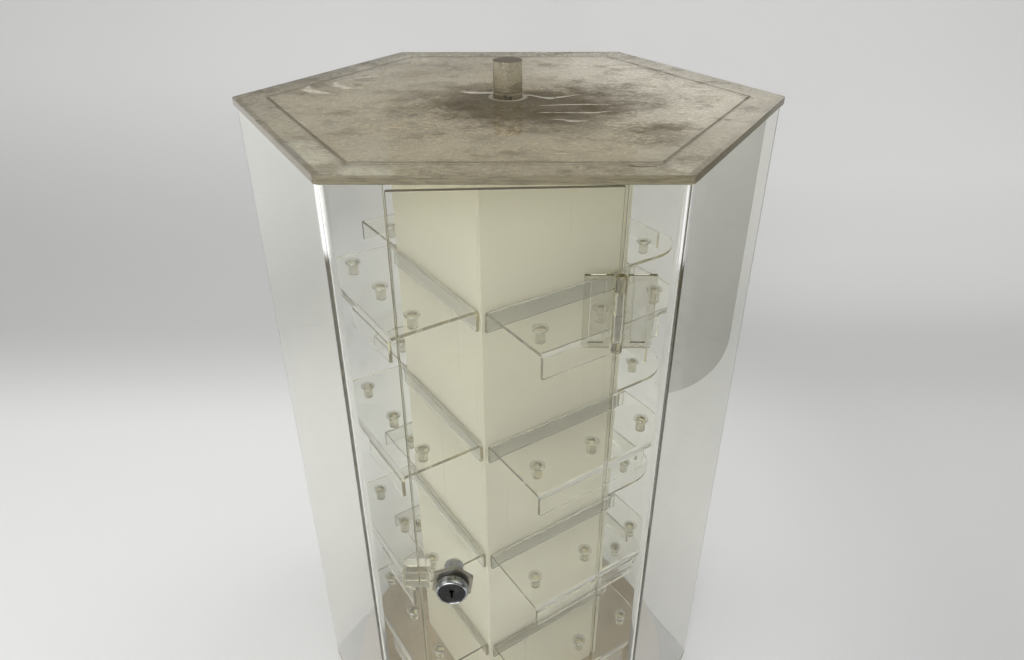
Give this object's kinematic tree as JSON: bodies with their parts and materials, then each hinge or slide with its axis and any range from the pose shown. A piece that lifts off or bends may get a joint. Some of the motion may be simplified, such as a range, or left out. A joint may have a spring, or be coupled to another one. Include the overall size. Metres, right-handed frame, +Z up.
{
  "type": "rotating display case",
  "caption": "Clear hexagonal countertop display case with a hinged locking front door; a square column of shelves inside turns on a bearing by a rod knob through the top.",
  "frame": {"origin": "middle of the base plate's underside, on the axis that the column turns about", "axes": "+Z up along the turning axis, -Y towards the door, +X to the right seen from the door side"},
  "size_m": [0.4674, 0.413, 0.756],
  "materials": {
    "clear_acrylic": "clear, polished",
    "moulded_acrylic": "clear moulded",
    "dusty_acrylic": "clear under a layer of dust",
    "base_acrylic": "clear with brown edges",
    "cream_acrylic": "gloss cream",
    "brown_board": "dull brown board",
    "lock_chrome": "polished chrome",
    "lock_black": "gloss black",
    "zinc_steel": "zinc plated"
  },
  "bodies": {
    "case": {"base_plate": "base_acrylic", "case_wall_left": "clear_acrylic", "case_wall_right": "clear_acrylic", "top_plate": "dusty_acrylic", "lock_keeper": "moulded_acrylic", "upper_hinge_case_leaf": "moulded_acrylic", "upper_hinge_pin": "moulded_acrylic", "lower_hinge_case_leaf": "moulded_acrylic", "lower_hinge_pin": "moulded_acrylic", "bearing_lower_plate": "zinc_steel", "base_screw_1": "zinc_steel", "base_screw_2": "zinc_steel", "base_screw_3": "zinc_steel", "base_screw_4": "zinc_steel"},
    "door": {"door_panel": "clear_acrylic", "upper_hinge_door_leaf": "moulded_acrylic", "lower_hinge_door_leaf": "moulded_acrylic", "lock_body": "lock_chrome", "lock_nut": "zinc_steel"},
    "lock": {"lock_plug": "lock_black", "lock_cam": "zinc_steel", "lock_cam_screw": "zinc_steel"},
    "carousel": {"bearing_upper_plate": "zinc_steel", "turntable_disc": "brown_board", "disc_screw_1": "zinc_steel", "disc_screw_2": "zinc_steel", "disc_screw_3": "zinc_steel", "disc_screw_4": "zinc_steel", "column_panel_front_right": "cream_acrylic", "column_panel_back_right": "cream_acrylic", "column_panel_back_left": "cream_acrylic", "column_panel_front_left": "cream_acrylic", "column_cap": "brown_board", "turning_knob": "clear_acrylic", "knob_screw": "zinc_steel", "shelf_front_right_1": "clear_acrylic", "shelf_front_right_2": "clear_acrylic", "shelf_front_right_3": "clear_acrylic", "shelf_front_right_4": "clear_acrylic", "shelf_back_right_1": "clear_acrylic", "shelf_back_right_2": "clear_acrylic", "shelf_back_right_3": "clear_acrylic", "shelf_back_right_4": "clear_acrylic", "shelf_back_left_1": "clear_acrylic", "shelf_back_left_2": "clear_acrylic", "shelf_back_left_3": "clear_acrylic", "shelf_back_left_4": "clear_acrylic", "shelf_front_left_1": "clear_acrylic", "shelf_front_left_2": "clear_acrylic", "shelf_front_left_3": "clear_acrylic", "shelf_front_left_4": "clear_acrylic"},
    "ball_ring": {"bearing_ball_ring": "zinc_steel"}
  },
  "joints": [
    {"name": "carousel_spin", "type": "hinge", "parent": "case", "child": "carousel", "pos_m": [0, 0, 0.02], "axis": [0, 0, 1], "continuous": true},
    {"name": "ball_ring_spin", "type": "hinge", "parent": "case", "child": "ball_ring", "pos_m": [0, 0, 0.0112], "axis": [0, 0, 1], "continuous": true},
    {"name": "door_swing", "type": "hinge", "parent": "case", "child": "door", "pos_m": [0.0767, -0.2057, 0.3625], "axis": [0, 0, 1], "range_deg": [0, 170]},
    {"name": "lock_turn", "type": "hinge", "parent": "door", "child": "lock", "pos_m": [-0.0475, -0.2012, 0.3583], "axis": [0, 1, 0], "range_deg": [0, 90]}
  ],
  "couplings": [
    {"joint": "ball_ring_spin", "follows": "carousel_spin", "ratio": 0.5}
  ]
}
